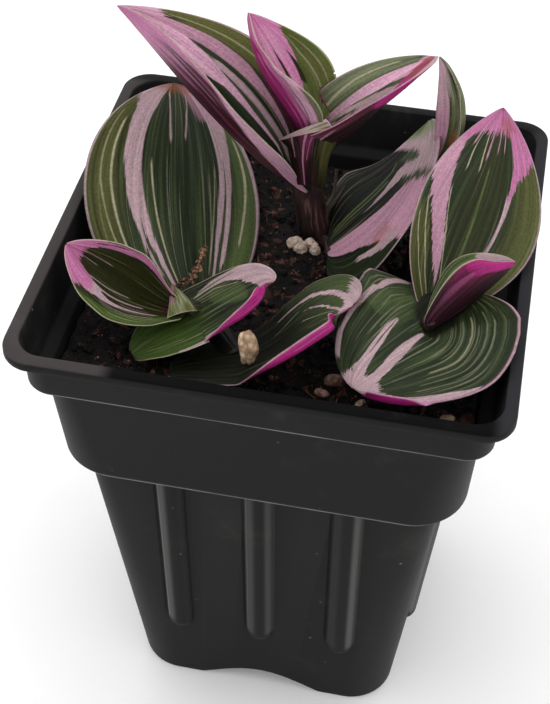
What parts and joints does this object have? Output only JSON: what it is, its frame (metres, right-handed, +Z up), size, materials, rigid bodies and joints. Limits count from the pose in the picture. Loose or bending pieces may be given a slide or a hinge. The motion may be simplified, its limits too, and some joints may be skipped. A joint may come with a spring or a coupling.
{
  "type": "potted tradescantia",
  "caption": "Young tradescantia with pink-striped leaves on short fleshy shoots, growing in the soil of a square ribbed nursery pot.",
  "frame": {"origin": "middle of the pot's foot, at the level it stands on", "axes": "+Z up; the pot's front face looks along -Y, with the wide striped leaf leaning back at the left and the tallest shoot behind the middle"},
  "size_m": [0.103, 0.103, 0.1661],
  "materials": {
    "pot_plastic": "charcoal moulded plastic with a satin sheen",
    "soil": null,
    "stem": "fleshy purple-brown stalk, faintly ribbed",
    "leaf": "satin green blade with pink and cream stripes, magenta beneath",
    "perlite": "dull cream grains",
    "pebble": "dull tan grains",
    "dry_scale": "dry tan bud scales"
  },
  "bodies": {
    "root": {"pot": "pot_plastic", "soil": "soil", "stem_centre": "stem", "stem_left": "stem", "stem_right": "stem", "stem_back": "stem", "stem_front": "stem", "leaf_back_left": "leaf", "leaf_top_left": "leaf", "leaf_top_centre": "leaf", "leaf_top_right": "leaf", "leaf_back_narrow": "leaf", "leaf_middle_right": "leaf", "leaf_back_right": "leaf", "leaf_right_young": "leaf", "leaf_front_right": "leaf", "leaf_front_centre": "leaf", "leaf_left_boat": "leaf", "leaf_front_left": "leaf", "perlite_clump": "perlite", "pebble_tall": "pebble", "pebble_front": "pebble", "pebble_low": "pebble", "pebble_flat": "pebble", "pebble_right": "pebble", "dry_scales": "dry_scale"}
  },
  "joints": []
}
